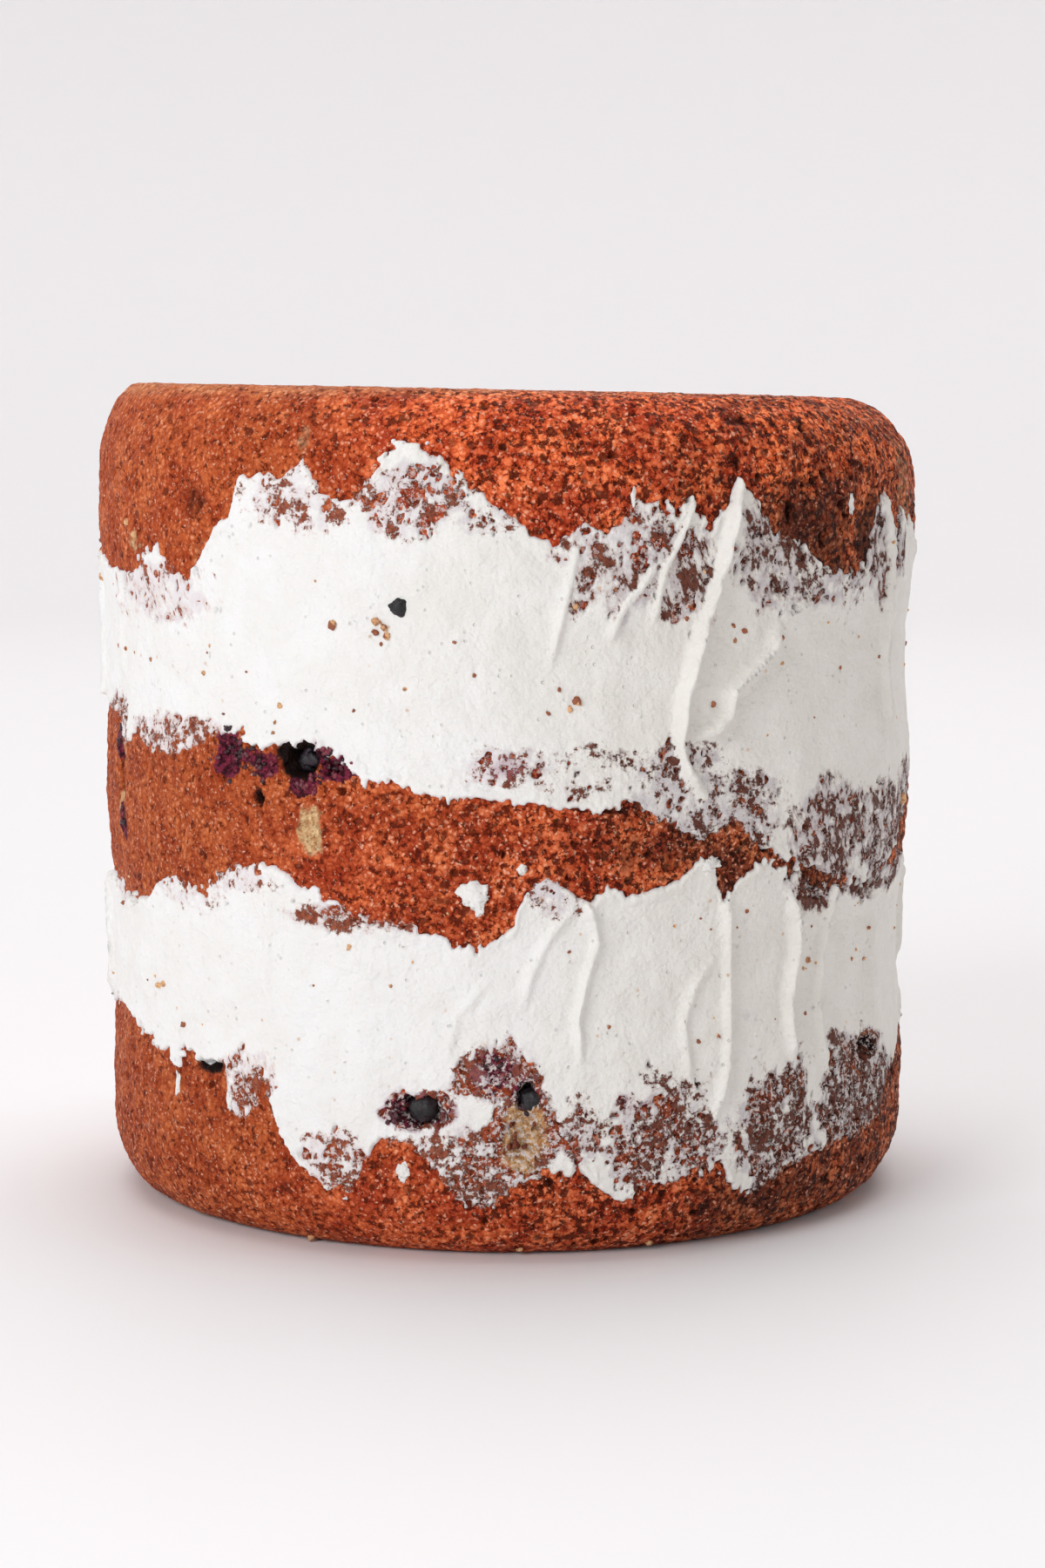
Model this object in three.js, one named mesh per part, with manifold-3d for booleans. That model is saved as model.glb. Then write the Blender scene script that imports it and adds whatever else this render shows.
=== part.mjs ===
// A tall three-layer sponge cake with two cream fillings, thinly coated ("naked") with the same cream.
// Millimetres, +Z up. Angles are in degrees round the cake: 0 is the front (-Y) and 90 the right (+X).
import * as THREE from "three";
import { mergeVertices } from "three/addons/utils/BufferGeometryUtils.js";
import Module from "manifold-3d";

// Driving sizes of the cake: three equal sponges with two equal fillings between them.
const SPONGE_HEIGHT = 42.3;
const FILLING_HEIGHT = 10;
const EDGE_RADIUS = 73.2; // a sponge at its filled faces
const SPONGE_BULGE = 1.5; // how much further a sponge stands out at mid-height
const GAP = 0.3; // air between touching pieces
const SIDE_GAP = 0.5; // air between a sponge's bulging side and the cream on it
const SEGMENTS = 72;

// The rounded tin corners, at the foot of the bottom sponge and round the top of the turned-over top sponge.
const FOOT_CORNER = { across: 7.6, up: 12 };
const TOP_CORNER = { across: 12, up: 16.5 };
const TOP_CORNER_LEAN = 2; // the right side of the top corner is this much rounder than the middle
const TOP_TILT = 1.6; // the top is this much lower at the right and higher at the left
const CORNER_STEPS = 4;

// The cream smeared over the sides.
const CREAM_RADIUS = 75.1; // where the scraper ran
const CREAM_LEAN = 0.4; // the scraper stood this much further out on the left than on the right
const CREAM_LEAST = 0.8; // thinnest coat on a sponge
const CREAM_EDGE = 0.55; // thickness at the rim of the smear

// Baked-in berries that break the surface: how far round, how high, radius, and how far the centre is sunk.
const BERRIES = [
  [-14, 111.5, 3.4, 1.2],
  [-27, 85, 4.8, 3.4],
  [-11, 26.5, 4, 2],
  [3.5, 28, 3.8, 2],
  [128, 70, 4.4, 3],
  [196, 29, 4, 2],
  [243, 112, 3.6, 1.2],
];

const BOTTOM_TOP = SPONGE_HEIGHT;
const MIDDLE_BOTTOM = BOTTOM_TOP + FILLING_HEIGHT;
const MIDDLE_TOP = MIDDLE_BOTTOM + SPONGE_HEIGHT;
const TOP_BOTTOM = MIDDLE_TOP + FILLING_HEIGHT;
const CAKE_HEIGHT = TOP_BOTTOM + SPONGE_HEIGHT;

// The ragged rims of the two smears, as [degrees round the cake, height].
const UPPER_TOP_RIM = [
  [-75, 118], [-57, 119], [-46, 116], [-37, 132], [-24, 131], [-13, 137], [0, 127], [6, 122],
  [20, 128], [31, 131], [46, 118], [54, 116], [63, 128], [75, 125], [95, 119], [115, 128],
  [135, 121], [155, 124], [175, 132], [195, 118], [215, 122], [235, 129], [255, 116], [270, 121],
];
const UPPER_LOW_RIM = [
  [-75, 89], [-65, 85], [-45, 87], [-20, 82], [0, 78.6], [13, 76.5], [23, 72.5], [30, 73],
  [40, 74], [60, 75], [75, 76], [95, 84], [115, 80], [140, 86], [165, 77], [190, 83],
  [215, 88], [240, 80], [262, 90],
];
const LOWER_TOP_RIM = [
  [-75, 58], [-57, 60], [-37, 66], [-25, 63], [-12, 57], [-3, 55.5], [4, 65], [13, 63],
  [26, 67], [36, 67], [50, 64], [70, 64], [90, 60], [110, 66], [130, 58], [155, 63],
  [180, 56], [205, 66], [230, 60], [255, 64],
];
const LOWER_LOW_RIM = [
  [-75, 36], [-60, 31.5], [-42, 31], [-35, 35], [-30, 16], [-23, 10.5], [-14, 20], [0, 16],
  [13, 11.5], [24, 14], [34, 9.5], [48, 13.6], [66, 16], [80, 27], [100, 33], [120, 18],
  [140, 30], [165, 12], [190, 26], [215, 34], [240, 20], [260, 32],
];

const wasm = await Module();
wasm.setup();

const radians = THREE.MathUtils.degToRad;

// A rim's height at any angle: eased from point to point, all the way round.
function rimHeight(rim, angle) {
  const first = rim[0][0];
  const turned = first + THREE.MathUtils.euclideanModulo(angle - first, 360);
  const closed = [...rim, [first + 360, rim[0][1]]];
  const next = closed.findIndex(([at], i) => i > 0 && at >= turned);
  const [fromAngle, fromHeight] = closed[next - 1];
  const [toAngle, toHeight] = closed[next];
  const share = THREE.MathUtils.smoothstep(turned, fromAngle, toAngle);
  return THREE.MathUtils.lerp(fromHeight, toHeight, share);
}

// Low, slow unevenness of a home-baked side.
function sideWave(angle, height) {
  const turn = radians(angle);
  return 0.3 * Math.sin(3 * turn + height / 24) + 0.2 * Math.sin(5 * turn - height / 17 + 1.3);
}

// The sponges' side without their tin corners: each one bulges between its filled faces.
function spongeRadius(angle, height) {
  const bottoms = [0, MIDDLE_BOTTOM, TOP_BOTTOM];
  const bottom = bottoms.findLast((level) => height >= level);
  const share = Math.min((height - bottom) / SPONGE_HEIGHT, 1);
  const bulge = SPONGE_BULGE * (1 - (2 * share - 1) ** 2);
  return EDGE_RADIUS + bulge + sideWave(angle, height);
}

// The top face, which slopes down to the right.
function topHeight(angle, radius) {
  return CAKE_HEIGHT - TOP_TILT * Math.sin(radians(angle)) * (radius / EDGE_RADIUS);
}

// A closed solid from a profile of [radius, height] that changes with the angle. The profile starts and
// ends on the axis and has the same number of points at every angle.
function turnedSolid(profileAt) {
  const rings = profileAt(0).length - 2;
  const bottom = profileAt(0)[0][1];
  const top = profileAt(0)[rings + 1][1];
  const positions = [0, 0, bottom];
  const triangles = [];
  const topIndex = 1 + SEGMENTS * rings;
  for (let segment = 0; segment < SEGMENTS; segment++) {
    const angle = (360 * segment) / SEGMENTS;
    const across = Math.sin(radians(angle));
    const along = -Math.cos(radians(angle));
    for (const [radius, height] of profileAt(angle).slice(1, -1)) {
      positions.push(radius * across, radius * along, height);
    }
    const here = 1 + segment * rings;
    const there = 1 + ((segment + 1) % SEGMENTS) * rings;
    triangles.push(0, there, here);
    for (let ring = 0; ring < rings - 1; ring++) {
      triangles.push(here + ring, there + ring, there + ring + 1);
      triangles.push(here + ring, there + ring + 1, here + ring + 1);
    }
    triangles.push(topIndex, here + rings - 1, there + rings - 1);
  }
  positions.push(0, 0, top);
  const geometry = new THREE.BufferGeometry();
  geometry.setAttribute("position", new THREE.Float32BufferAttribute(positions, 3));
  geometry.setIndex(triangles);
  return geometry;
}

// Evenly spaced heights of a side between two levels, both included.
function levels(from, to, steps) {
  return Array.from({ length: steps + 1 }, (_, step) => THREE.MathUtils.lerp(from, to, step / steps));
}

// Points of a rounded corner from 0 (flat face) to 1 (upright side), as shares of its two sizes.
function cornerShares() {
  return Array.from({ length: CORNER_STEPS + 1 }, (_, step) => {
    const turn = (step / CORNER_STEPS) * (Math.PI / 2);
    return { inset: 1 - Math.sin(turn), rise: 1 - Math.cos(turn) };
  });
}

function bottomSponge() {
  return turnedSolid((angle) => {
    const corner = cornerShares().map(({ inset, rise }) => {
      const height = rise * FOOT_CORNER.up;
      return [spongeRadius(angle, height) - inset * FOOT_CORNER.across, height];
    });
    const side = levels(FOOT_CORNER.up, BOTTOM_TOP, 4).slice(1);
    const wall = side.map((height) => [spongeRadius(angle, height), height]);
    return [[0, 0], ...corner, ...wall, [0, BOTTOM_TOP]];
  });
}

function middleSponge() {
  return turnedSolid((angle) => {
    const side = levels(MIDDLE_BOTTOM, MIDDLE_TOP, 5);
    const wall = side.map((height) => [spongeRadius(angle, height), height]);
    return [[0, MIDDLE_BOTTOM], ...wall, [0, MIDDLE_TOP]];
  });
}

function topSponge() {
  return turnedSolid((angle) => {
    const across = TOP_CORNER.across + TOP_CORNER_LEAN * Math.sin(radians(angle));
    const top = topHeight(angle, EDGE_RADIUS - across);
    const cornerStart = top - TOP_CORNER.up;
    const side = levels(TOP_BOTTOM, cornerStart, 3);
    const wall = side.map((height) => [spongeRadius(angle, height), height]);
    const corner = cornerShares().reverse().slice(1).map(({ inset, rise }) => {
      const height = top - rise * TOP_CORNER.up;
      return [spongeRadius(angle, height) - inset * across, height];
    });
    return [[0, TOP_BOTTOM], ...wall, ...corner, [0, CAKE_HEIGHT]];
  });
}

// One filling: a disc between two sponges that spreads over their sides down to one rim and up to another.
function filling(bottom, top, lowRim, topRim) {
  return turnedSolid((angle) => {
    const low = rimHeight(lowRim, angle);
    const high = rimHeight(topRim, angle);
    const inner = (height) => [spongeRadius(angle, height) + SIDE_GAP, height];
    const scraper = CREAM_RADIUS - CREAM_LEAN * Math.sin(radians(angle)) + sideWave(angle, 2 * bottom);
    const outer = (height) => {
      const wall = spongeRadius(angle, height) + SIDE_GAP;
      return [Math.max(scraper, wall + CREAM_LEAST), height];
    };
    const rim = (height) => [spongeRadius(angle, height) + SIDE_GAP + CREAM_EDGE, height];
    const rimDepth = 2;
    return [
      [0, bottom + GAP],
      inner(bottom + GAP),
      ...levels(bottom + GAP, low, 3).slice(1).map(inner),
      rim(low),
      ...levels(low + rimDepth, high - rimDepth, 4).map(outer),
      rim(high),
      ...levels(high, top - GAP, 3).map(inner),
      [0, top - GAP],
    ];
  });
}

function solidFrom(geometry) {
  geometry.deleteAttribute("normal");
  geometry.deleteAttribute("uv");
  const merged = mergeVertices(geometry, 1e-3);
  return new wasm.Manifold(
    new wasm.Mesh({
      numProp: 3,
      vertProperties: new Float32Array(merged.attributes.position.array),
      triVerts: new Uint32Array(merged.index.array),
    }),
  );
}

function geometryFrom(solid) {
  const mesh = solid.getMesh();
  const geometry = new THREE.BufferGeometry();
  geometry.setAttribute("position", new THREE.BufferAttribute(mesh.vertProperties, 3));
  geometry.setIndex(new THREE.BufferAttribute(mesh.triVerts, 1));
  return geometry;
}

// A berry's ball, sunk into the side of the sponge.
function berryBall([angle, height, radius, sunk], extra) {
  const out = spongeRadius(angle, height) - sunk;
  const ball = new THREE.IcosahedronGeometry(radius + extra, 1);
  ball.translate(out * Math.sin(radians(angle)), -out * Math.cos(radians(angle)), height);
  return ball;
}

// Cuts the berries' pockets into a piece of the cake.
function withPockets(geometry) {
  const cut = BERRIES.reduce(
    (solid, berry) => solid.subtract(solidFrom(berryBall(berry, GAP))),
    solidFrom(geometry),
  );
  return geometryFrom(cut);
}

const spongeMaterial = new THREE.MeshStandardMaterial({ color: 0xa85a34, roughness: 0.9, metalness: 0 });
const creamMaterial = new THREE.MeshStandardMaterial({ color: 0xf5f1ec, roughness: 0.5, metalness: 0 });
const berryMaterial = new THREE.MeshStandardMaterial({ color: 0x1d1b2e, roughness: 0.35, metalness: 0 });

const cake = new THREE.Group();

function addPiece(name, geometry, material) {
  const mesh = new THREE.Mesh(geometry, material);
  mesh.name = name;
  cake.add(mesh);
}

const lowerFilling = filling(BOTTOM_TOP, MIDDLE_BOTTOM, LOWER_LOW_RIM, LOWER_TOP_RIM);
const upperFilling = filling(MIDDLE_TOP, TOP_BOTTOM, UPPER_LOW_RIM, UPPER_TOP_RIM);
addPiece("sponge_bottom", withPockets(bottomSponge()), spongeMaterial);
addPiece("sponge_middle", withPockets(middleSponge()), spongeMaterial);
addPiece("sponge_top", withPockets(topSponge()), spongeMaterial);
addPiece("filling_lower", withPockets(lowerFilling), creamMaterial);
addPiece("filling_upper", withPockets(upperFilling), creamMaterial);
BERRIES.forEach((berry, index) => {
  addPiece(`berry_${index + 1}`, berryBall(berry, 0), berryMaterial);
});

// The origin is under the middle of the cake, on the surface it stands on.
const bounds = new THREE.Box3().setFromObject(cake);
const middle = bounds.getCenter(new THREE.Vector3());
cake.position.set(-middle.x, -middle.y, -bounds.min.z);

export default cake;
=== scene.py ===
"""A three-layer naked cake: browned sponges, two cream fillings scraped over the sides, berries and crumbs.

Lengths are in millimetres until a mesh is made, and angles in degrees round the cake: 0 is the front (-Y)
and 90 the right (+X). Each surface is a relief: a distance outwards from the sponges' even side. The cream
shows where its relief is above the crumb's, and thin cream has holes down to the crumb.
"""

import math

import bmesh
import bpy
import numpy as np
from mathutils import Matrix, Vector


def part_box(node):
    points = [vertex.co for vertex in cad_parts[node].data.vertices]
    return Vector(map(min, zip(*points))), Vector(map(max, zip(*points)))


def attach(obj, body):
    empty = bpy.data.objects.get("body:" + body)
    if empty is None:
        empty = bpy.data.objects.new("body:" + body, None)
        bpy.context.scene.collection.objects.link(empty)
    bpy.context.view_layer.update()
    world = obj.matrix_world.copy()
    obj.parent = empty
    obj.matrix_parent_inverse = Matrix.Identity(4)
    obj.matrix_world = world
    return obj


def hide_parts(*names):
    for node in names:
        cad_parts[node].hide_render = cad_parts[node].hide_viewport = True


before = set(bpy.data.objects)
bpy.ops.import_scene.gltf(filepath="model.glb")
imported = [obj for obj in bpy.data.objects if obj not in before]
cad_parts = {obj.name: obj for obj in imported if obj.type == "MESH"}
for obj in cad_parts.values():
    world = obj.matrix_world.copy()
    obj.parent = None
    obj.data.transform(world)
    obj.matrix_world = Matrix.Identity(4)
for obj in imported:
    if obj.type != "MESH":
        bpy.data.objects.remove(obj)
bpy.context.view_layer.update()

MM = 0.001
RNG = np.random.default_rng(7)
NO_QUADS = np.zeros((0, 4), int)
NO_TRIANGLES = np.zeros((0, 3), int)

# Levels and radii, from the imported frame.
BOTTOM_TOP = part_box("sponge_bottom")[1].z / MM
MIDDLE_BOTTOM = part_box("sponge_middle")[0].z / MM
MIDDLE_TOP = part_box("sponge_middle")[1].z / MM
TOP_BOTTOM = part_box("sponge_top")[0].z / MM
SPONGE_HEIGHT = BOTTOM_TOP
CAKE_HEIGHT = TOP_BOTTOM + SPONGE_HEIGHT
CAKE_RADIUS = (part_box("sponge_middle")[1].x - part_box("sponge_middle")[0].x) / 2 / MM
SPONGE_BULGE = 1.5
EDGE_RADIUS = CAKE_RADIUS - SPONGE_BULGE
MM_PER_DEGREE = math.radians(CAKE_RADIUS)

# Tin corners: size across and size up, as in the CAD.
FOOT_ACROSS, FOOT_UP = 7.6, 12.0
TOP_ACROSS, TOP_UP, TOP_LEAN = 9.8, 14.6, 3.4
TOP_TILT = 1.6
RIM_SHARE = 0.83
WIDENING = 0.9
# A height above every mark and smear: the top face reads its relief there.
ABOVE_MARKS = CAKE_HEIGHT + 9

# Mesh spacing.
SIDE_COLUMNS = 1008
CREAM_COLUMNS = 900
TOP_COLUMNS = 832
SPONGE_STEP = 0.47
TOP_WALL_STEP = 0.56
TOP_FACE_STEP = 1.05
FOOT_ROWS = 26
CORNER_ROWS = 38
CREAM_ROWS = 104
FRONT_FINER = 0.42
RIM_FINER = 0.45

# The scraped cream.
CREAM_RADIUS = 73.7
CREAM_LEAN = 0.4
CREAM_LEAST = 0.22
CREAM_COVER = 0.8
FILM_LEVEL = 0.3
HOLE_LEVEL = -0.75
STROKE_WIDTH = 0.8
STROKE_HEIGHT = 1.55
STROKE_SPAN = 14
RIM_MARGIN = 2.2
COAT_DEPTH = 8.0

FINE_CRUMBS = 130
CRUMB_SCALE = 0.62

# ---- noise

GRADIENTS = np.random.default_rng(3).normal(size=(256, 3)).astype(np.float32)
GRADIENTS /= np.linalg.norm(GRADIENTS, axis=1, keepdims=True)


def lattice(cell, seed):
    """A repeatable pseudo-random 32-bit number for each whole-number lattice corner."""
    c = cell.astype(np.int64).astype(np.uint32)
    h = c[:, 0] * np.uint32(374761393) + c[:, 1] * np.uint32(668265263)
    h += c[:, 2] * np.uint32(2147483647) + np.uint32(seed * 40503 + 12345)
    h = (h ^ (h >> np.uint32(13))) * np.uint32(1274126177)
    h = (h ^ (h >> np.uint32(15))) * np.uint32(2246822519)
    return h ^ (h >> np.uint32(16))


def noise(points, size, seed):
    """Smooth gradient noise, about -1 to 1, with lumps of that size; size may be one number or three."""
    p = points / np.asarray(size, np.float32)
    cell = np.floor(p)
    f = (p - cell).astype(np.float32)
    ease = f * f * f * (f * (f * 6 - 15) + 10)
    total = np.zeros(len(p), np.float32)
    for corner in np.ndindex(2, 2, 2):
        step = np.array(corner, np.float32)
        gradient = GRADIENTS[lattice(cell + step, seed) & np.uint32(255)]
        weight = np.prod(np.where(step > 0, ease, 1 - ease), axis=1)
        total += weight * ((f - step) * gradient).sum(1)
    return total * 1.7


def cells(points, size, seed):
    """For points scattered one to a cell: the distance to the nearest, in cells, and its random number."""
    p = points / size
    cell = np.floor(p)
    nearest = np.full(len(p), 9.0, np.float32)
    number = np.zeros(len(p), np.float32)
    for offset in np.ndindex(3, 3, 3):
        corner = cell + np.array(offset, np.float32) - 1
        h = lattice(corner, seed)
        shifts = (np.uint32(0), np.uint32(10), np.uint32(22))
        jitter = np.stack([(h >> shift) & np.uint32(1023) for shift in shifts], 1)
        distance = np.linalg.norm(corner + jitter / 1023.0 - p, axis=1).astype(np.float32)
        closer = distance < nearest
        nearest = np.where(closer, distance, nearest)
        number = np.where(closer, (lattice(corner, seed + 91) & np.uint32(65535)) / 65535.0, number)
    return nearest, number


def smoothstep(low, high, value):
    t = np.clip((value - low) / (high - low), 0, 1)
    return t * t * (3 - 2 * t)


def mix(a, b, share):
    return a + (b - a) * share


# ---- the cake's even shape

def turned(angle, reference):
    """The angle's difference from a reference, between -180 and 180 degrees."""
    return (angle - reference + 180) % 360 - 180


def side_wave(angle, height):
    """Slow unevenness of the side, and its slight widening upwards."""
    turn = np.radians(angle)
    waves = 0.3 * np.sin(3 * turn + height / 24) + 0.2 * np.sin(5 * turn - height / 17 + 1.3)
    return waves + WIDENING * (height / (CAKE_HEIGHT / 2) - 1)


def side_radius(angle, height):
    """The sponges' even side: each one bulges between its faces, and the cream sits on the same line."""
    bottoms = np.array([0, MIDDLE_BOTTOM, TOP_BOTTOM])
    bottom = bottoms[np.searchsorted(bottoms, height, side="right").clip(1) - 1]
    share = np.clip((height - bottom) / SPONGE_HEIGHT, 0, 1)
    return EDGE_RADIUS + SPONGE_BULGE * (1 - (2 * share - 1) ** 2) + side_wave(angle, height)


def corner_inset(angle, height):
    """How far the tin corners at the foot and round the top draw the side in."""
    foot = np.clip(1 - height / FOOT_UP, 0, 1)
    top = np.clip(1 - (top_level(angle) - height) / TOP_UP, 0, 1)
    return FOOT_ACROSS * (1 - np.sqrt(1 - foot**2)) + top_across(angle) * (1 - np.sqrt(1 - top**2))


def top_across(angle):
    return TOP_ACROSS + TOP_LEAN * np.sin(np.radians(angle))


def top_level(angle, share=RIM_SHARE):
    """Height of the top face at a share of the radius; it slopes down to the right."""
    return CAKE_HEIGHT - TOP_TILT * np.sin(np.radians(angle)) * share


def place(angle, radius, height):
    """Points from angle, radius and height, which may be numbers or rows of numbers."""
    turn = np.radians(angle)
    points = [radius * np.sin(turn), -radius * np.cos(turn), height + 0 * turn]
    return np.stack(points, -1).astype(np.float32)


def on_side(angle, height):
    """The points of the even side itself, at which its noise is read."""
    return place(angle, side_radius(angle, height) - corner_inset(angle, height), height)


# ---- marks on the crust

# [degrees, height, half width, half height, depth]: holes, cracks and torn places in the crumb.
DENTS = [
    [-27.5, 84.9, 3.9, 3.2, 4.6], [-23, 84, 2.4, 1.6, 1.6], [-39.5, 85, 3.4, 3.4, 1.2],
    [-34, 78, 0.9, 1.8, 1.8], [-26, 73, 2, 4.6, 0.8], [2.4, 22, 4.4, 6.4, 1.3],
    [-27.3, 139.4, 1.2, 2.6, 0.5], [-11.2, 25.8, 5.4, 3.4, 3.2], [2.7, 28.8, 1.9, 2.9, 4.4],
    [-44.4, 30.6, 4.4, 1.2, 2.6], [61.8, 30, 4.6, 2.4, 3.4], [-45, 128, 3.2, 3.4, 0.4],
    [33, 142, 3.8, 1.2, 0.9], [44.5, 140.6, 2, 1.2, 1], [39.5, 126.5, 1, 2.4, 1.4], [46, 122, 1, 1.4, 1.3],
    [52, 113, 1.2, 2, 1.2], [47, 58, 3.2, 3, 0.7], [-68.5, 78, 1.8, 9, 1.1], [14, 77, 2.4, 0.8, 1],
    [-8, 62, 3, 1, 0.6], [128, 71, 4.6, 3.6, 3.2], [150, 62, 1, 2.2, 1.3], [196, 29, 5, 2.6, 2.8],
    [222, 72, 2.2, 4, 0.8], [251, 24, 4, 4.6, 1.2], [104, 126, 1.2, 1.6, 1.2], [287, 84, 1.6, 1.2, 1.2],
]
# [degrees, height, half width, half height, strength] of each kind of colour mark.
PALE = [
    [-26, 73, 2.8, 5.4, 1], [2.4, 22, 4.8, 7.4, 1], [-27.3, 139.4, 1.8, 3.4, 0.5],
    [-60, 120.5, 2.6, 2.8, 0.7], [-69, 73, 2, 3, 0.9], [-66.5, 82, 1.4, 3, 0.5], [-44, 119, 3, 4, 0.35],
    # The mark at 71 degrees, 131 high, on the top right corner is a painted highlight; the other marks are
    # pale torn crumb.
    [-34, 83, 3, 2, 0.5], [71, 131, 7, 11, 0.45], [222, 72, 3.2, 5, 1], [251, 24, 5, 5.4, 0.9],
    [120, 64, 2.6, 3.4, 0.6],
]
STAIN = [
    [-39.8, 85.2, 4, 5, 1], [-36.4, 85.2, 5, 1.8, 0.75], [-33, 83.6, 4, 2.6, 0.9], [-27, 81.4, 3.4, 3.4, 1],
    [-22, 83.6, 4, 3, 1], [-24.6, 86.4, 2.6, 2.4, 0.9], [-69, 84, 2.6, 5, 1], [-68.5, 70, 2, 4, 0.9],
    [-11.4, 26, 7.5, 4.4, 0.9], [-1.6, 33, 4.4, 4.6, 0.7], [2.7, 29.6, 3, 3, 0.8], [0, 84.6, 3.4, 2.4, 0.6],
    [17, 28, 4.4, 3, 0.5], [128, 71, 7, 5.4, 0.9], [196, 29, 8, 4, 0.8], [243, 112, 4, 3.4, 0.6],
    [160, 86, 5, 3, 0.5],
]
# Near-black painted shade: in holes, dents and berry hollows, and in patches of deep open crumb on the right.
SHADE_PATCHES = [
    [-45, 128, 3.6, 3.6, 0.42], [42, 120, 22, 13, 0.55], [33, 142, 4, 1.6, 0.45],
    [44.5, 140.6, 2.4, 1.6, 0.45], [58, 122, 9, 9, 0.6], [46, 63, 9, 7, 0.5], [38, 8, 22, 6, 0.4],
    [61.8, 30, 5.4, 3, 1], [-11.2, 26, 6, 3.4, 0.9], [-44.4, 30.4, 4.8, 1.8, 1],
    [-28.2, 85.4, 4.6, 4.2, 1.3], [2.7, 28.8, 2, 2.8, 1], [-34, 78, 1, 2, 0.9], [20, 70, 14, 4, 0.3],
    [142, 131, 8, 6, 0.4], [210, 12, 14, 5, 0.3], [25, 133, 10, 9, 0.3], [53, 126, 6, 9, 0.35],
]


def reach_of(angle, height, at, level, wide, tall):
    """Distance from a mark's middle, as a share of its half width and half height."""
    across = turned(angle, at) * MM_PER_DEGREE / wide
    return np.sqrt(across**2 + ((height - level) / tall) ** 2)


def marks(table, angle, height, spot):
    """The strongest of a table's soft-edged spots at each place, 0 to 1, with an uneven outline."""
    uneven = 0.28 * noise(spot, 2.6, 41) + 0.16 * noise(spot, 1.1, 42)
    found = np.zeros(len(angle), np.float32)
    for *middle_and_size, strength in table:
        reach = reach_of(angle, height, *middle_and_size) + uneven
        found = np.maximum(found, strength * smoothstep(1.1, 0.5, reach))
    return found


def dent_depth(angle, height, spot):
    """How deep the holes and cracks are, in mm."""
    uneven = 0.3 * noise(spot, 1.8, 43)
    depth = np.zeros(len(angle), np.float32)
    for *middle_and_size, deep in DENTS:
        reach = reach_of(angle, height, *middle_and_size) + uneven
        depth = np.maximum(depth, deep * smoothstep(1.0, 0.35, reach))
    return depth


def coarseness(angle, height):
    """How open the crumb is: close at the left, open to the right and at the foot, by turns at the back."""
    side = smoothstep(-50, 25, turned(angle, 0)) * smoothstep(150, 110, np.abs(turned(angle, 20)))
    hidden = 0.5 + 0.5 * np.cos(np.radians(3 * angle + 40))
    back = smoothstep(100, 140, np.abs(turned(angle, 0)))
    foot = 0.35 * smoothstep(20, 5, height)
    return 0.2 + 0.5 * np.maximum(np.maximum(side, back * hidden), foot)


def crumb_relief(angle, height, spot):
    """The browned crumb's relief, mostly -1 to 0.3 mm, and how deep in a pit each place is, 0 to 1."""
    open_crumb = coarseness(angle, height)
    lumps = 0.3 * noise(spot, 7.5, 11) + 0.26 * noise(spot, 2.5, 12) + 0.2 * noise(spot, 1.2, 13)
    pit = np.zeros(len(angle), np.float32)
    for size, seed, share, deep in ((2.1, 21, 0.55, 0.8), (3.6, 22, 0.36, 1.2)):
        nearest, number = cells(spot, size, seed)
        wide = 0.24 + 0.2 * number
        bowl = smoothstep(wide, wide * 0.35, nearest) * (number < share * open_crumb * 1.7)
        pit = np.maximum(pit, bowl * deep)
    relief = lumps * (0.75 + 0.6 * open_crumb) - pit * (0.5 + 0.6 * open_crumb)
    return relief, np.clip(pit, 0, 1)


def sponge_relief(angle, height, spot):
    """The crumb's relief with its dents, and the pits."""
    relief, pit = crumb_relief(angle, height, spot)
    return relief - dent_depth(angle, height, spot), pit


# ---- the cream's outline, thin places and strokes

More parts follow.
